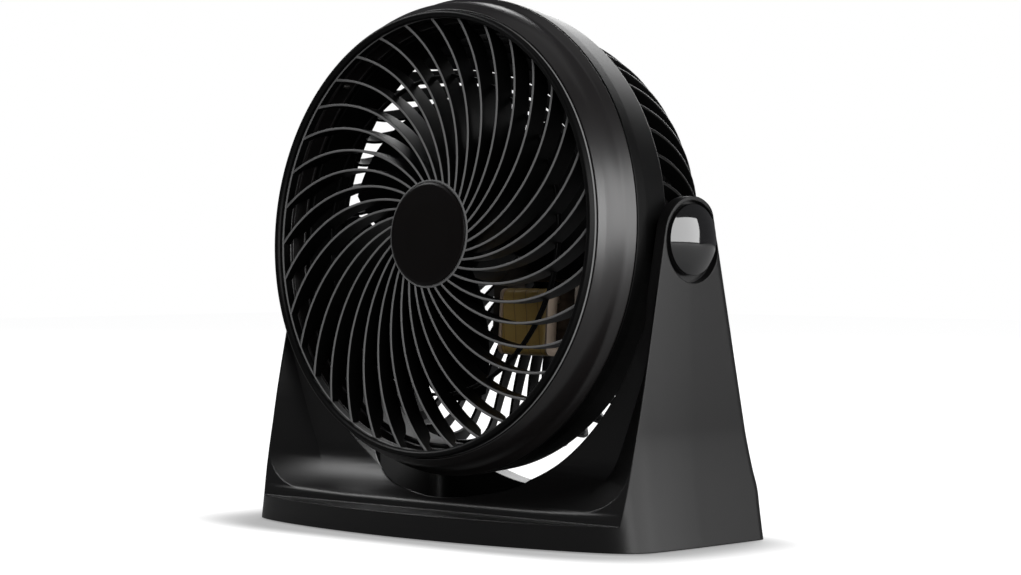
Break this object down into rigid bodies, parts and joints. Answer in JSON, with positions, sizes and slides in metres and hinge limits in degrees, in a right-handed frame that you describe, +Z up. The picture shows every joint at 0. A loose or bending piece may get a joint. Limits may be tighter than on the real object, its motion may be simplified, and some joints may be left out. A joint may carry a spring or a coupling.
{
  "type": "air circulator fan",
  "caption": "Table air circulator fan: a deep round head with a spiral-ribbed front grille and a domed rear basket tilts between the cheeks of a moulded yoke stand",
  "frame": {"origin": "centre of the bounding box on the table plane, under the stand", "axes": "+Z up; the fan blows towards -Y at rest; X runs along the two tilt pivots"},
  "size_m": [0.296, 0.1678, 0.2924],
  "materials": {
    "stand_plastic": "satin black moulded plastic",
    "housing_plastic": "semi-gloss black moulded plastic",
    "grille_plastic": "semi-gloss black moulded plastic",
    "button_plastic": "polished dark grey plastic",
    "blade_plastic": "dark blue-black moulded plastic",
    "inner_plastic": "natural white moulded plastic",
    "rubber": "soft black rubber",
    "steel": "zinc-plated steel",
    "lamination": "stacked steel laminations",
    "coil_tape": "gold-tan insulating tape over the winding",
    "bronze": "sintered bronze bushes"
  },
  "bodies": {
    "stand": {"stand_shell": "stand_plastic", "base_plate": "stand_plastic", "foot_1": "rubber", "foot_2": "rubber", "foot_3": "rubber", "foot_4": "rubber", "base_screw_1": "steel", "base_screw_2": "steel", "base_screw_3": "steel", "base_screw_4": "steel", "friction_washer_left": "inner_plastic", "friction_washer_right": "inner_plastic"},
    "head": {"front_ring": "housing_plastic", "hub_cap": "housing_plastic", "front_grille": "grille_plastic", "rear_housing": "grille_plastic", "air_duct": "grille_plastic", "pivot_button_left": "button_plastic", "pivot_button_right": "button_plastic", "coil_bobbin": "inner_plastic", "speed_switch": "inner_plastic", "cord_gland": "rubber", "front_bearing_bracket": "steel", "rear_bearing_bracket": "steel", "motor_screw_left": "steel", "motor_screw_right": "steel", "housing_screw_1": "steel", "housing_screw_2": "steel", "housing_screw_3": "steel", "housing_screw_4": "steel", "trunnion_left": "steel", "trunnion_right": "steel", "pivot_screw_left": "steel", "pivot_screw_right": "steel", "stator_core": "lamination", "coil": "coil_tape", "front_bearing": "bronze", "rear_bearing": "bronze"},
    "blade_assembly": {"motor_shaft": "steel", "rotor": "lamination", "fan_blade": "blade_plastic", "blade_nut": "blade_plastic"},
    "knob": {"speed_knob": "housing_plastic", "switch_spindle": "inner_plastic"}
  },
  "joints": [
    {"name": "head_tilt", "type": "hinge", "parent": "stand", "child": "head", "pos_m": [0, -0.00585, 0.16], "axis": [-1, 0, 0], "range_deg": [-13, 87]},
    {"name": "blade_spin", "type": "hinge", "parent": "head", "child": "blade_assembly", "pos_m": [0, -0.00585, 0.16], "axis": [0, 0.9983, -0.0584], "continuous": true},
    {"name": "speed_knob_turn", "type": "hinge", "parent": "head", "child": "knob", "pos_m": [0, -0.00585, 0.16], "axis": [0, -0.9983, 0.0584], "range_deg": [0, 135]}
  ]
}
